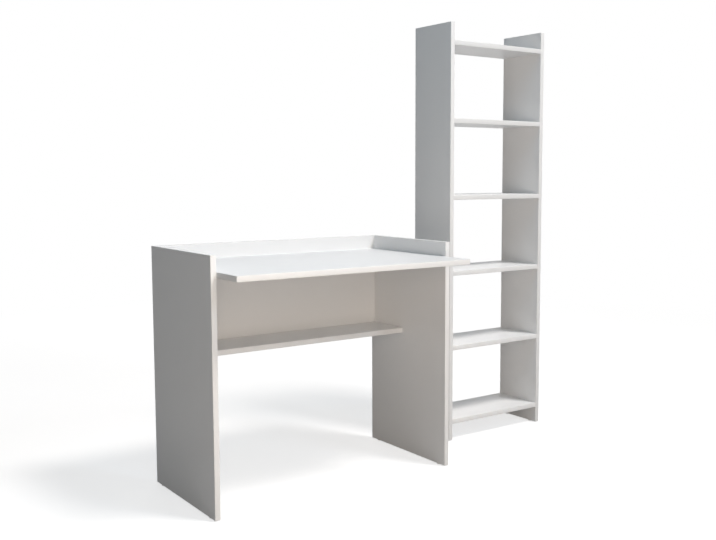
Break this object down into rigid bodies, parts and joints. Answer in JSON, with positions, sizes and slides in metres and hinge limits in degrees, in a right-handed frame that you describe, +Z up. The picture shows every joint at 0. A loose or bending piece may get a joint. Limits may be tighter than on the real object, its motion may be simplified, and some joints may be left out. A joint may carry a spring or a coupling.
{
  "type": "desk with bookcase",
  "caption": "Writing desk with a rimmed top and under-desk shelf, and a free-standing open bookcase beside it, in white faced board joined by cam fittings and dowels",
  "frame": {"origin": "on the floor, at the middle of the bounding box of the two units", "axes": "+X to the right along both units, +Y to the back, towards the wall, +Z up"},
  "size_m": [1.585, 0.576, 1.6],
  "materials": {
    "white_board": "matt white melamine facing on chipboard",
    "white_edging": "matt white edge strip",
    "white_plastic": "satin white moulding",
    "zinc_casting": "tumbled zinc casting",
    "zinc_plated_steel": "bright zinc plating",
    "beech": "bare fluted beech"
  },
  "bodies": {
    "root": {"bookcase_cam_bolts": "zinc_plated_steel", "bookcase_cam_caps": "white_plastic", "bookcase_cam_housings": "zinc_casting", "bookcase_dowels": "beech", "bookcase_glide_nails": "zinc_plated_steel", "bookcase_glides": "white_plastic", "bookcase_left_side": "white_board", "bookcase_left_side_edging": "white_edging", "bookcase_right_side": "white_board", "bookcase_right_side_edging": "white_edging", "bookcase_shelf_1": "white_board", "bookcase_shelf_1_edging": "white_edging", "bookcase_shelf_2": "white_board", "bookcase_shelf_2_edging": "white_edging", "bookcase_shelf_3": "white_board", "bookcase_shelf_3_edging": "white_edging", "bookcase_shelf_4": "white_board", "bookcase_shelf_4_edging": "white_edging", "bookcase_shelf_5": "white_board", "bookcase_shelf_5_edging": "white_edging", "bookcase_shelf_6": "white_board", "bookcase_shelf_6_edging": "white_edging", "desk_back_panel": "white_board", "desk_back_panel_edging": "white_edging", "desk_cam_bolts": "zinc_plated_steel", "desk_cam_caps": "white_plastic", "desk_cam_housings": "zinc_casting", "desk_dowels": "beech", "desk_glide_nails": "zinc_plated_steel", "desk_glides": "white_plastic", "desk_left_side": "white_board", "desk_left_side_edging": "white_edging", "desk_right_side": "white_board", "desk_right_side_edging": "white_edging", "desk_shelf": "white_board", "desk_shelf_edging": "white_edging", "desktop": "white_board", "desktop_edging": "white_edging"}
  },
  "joints": []
}
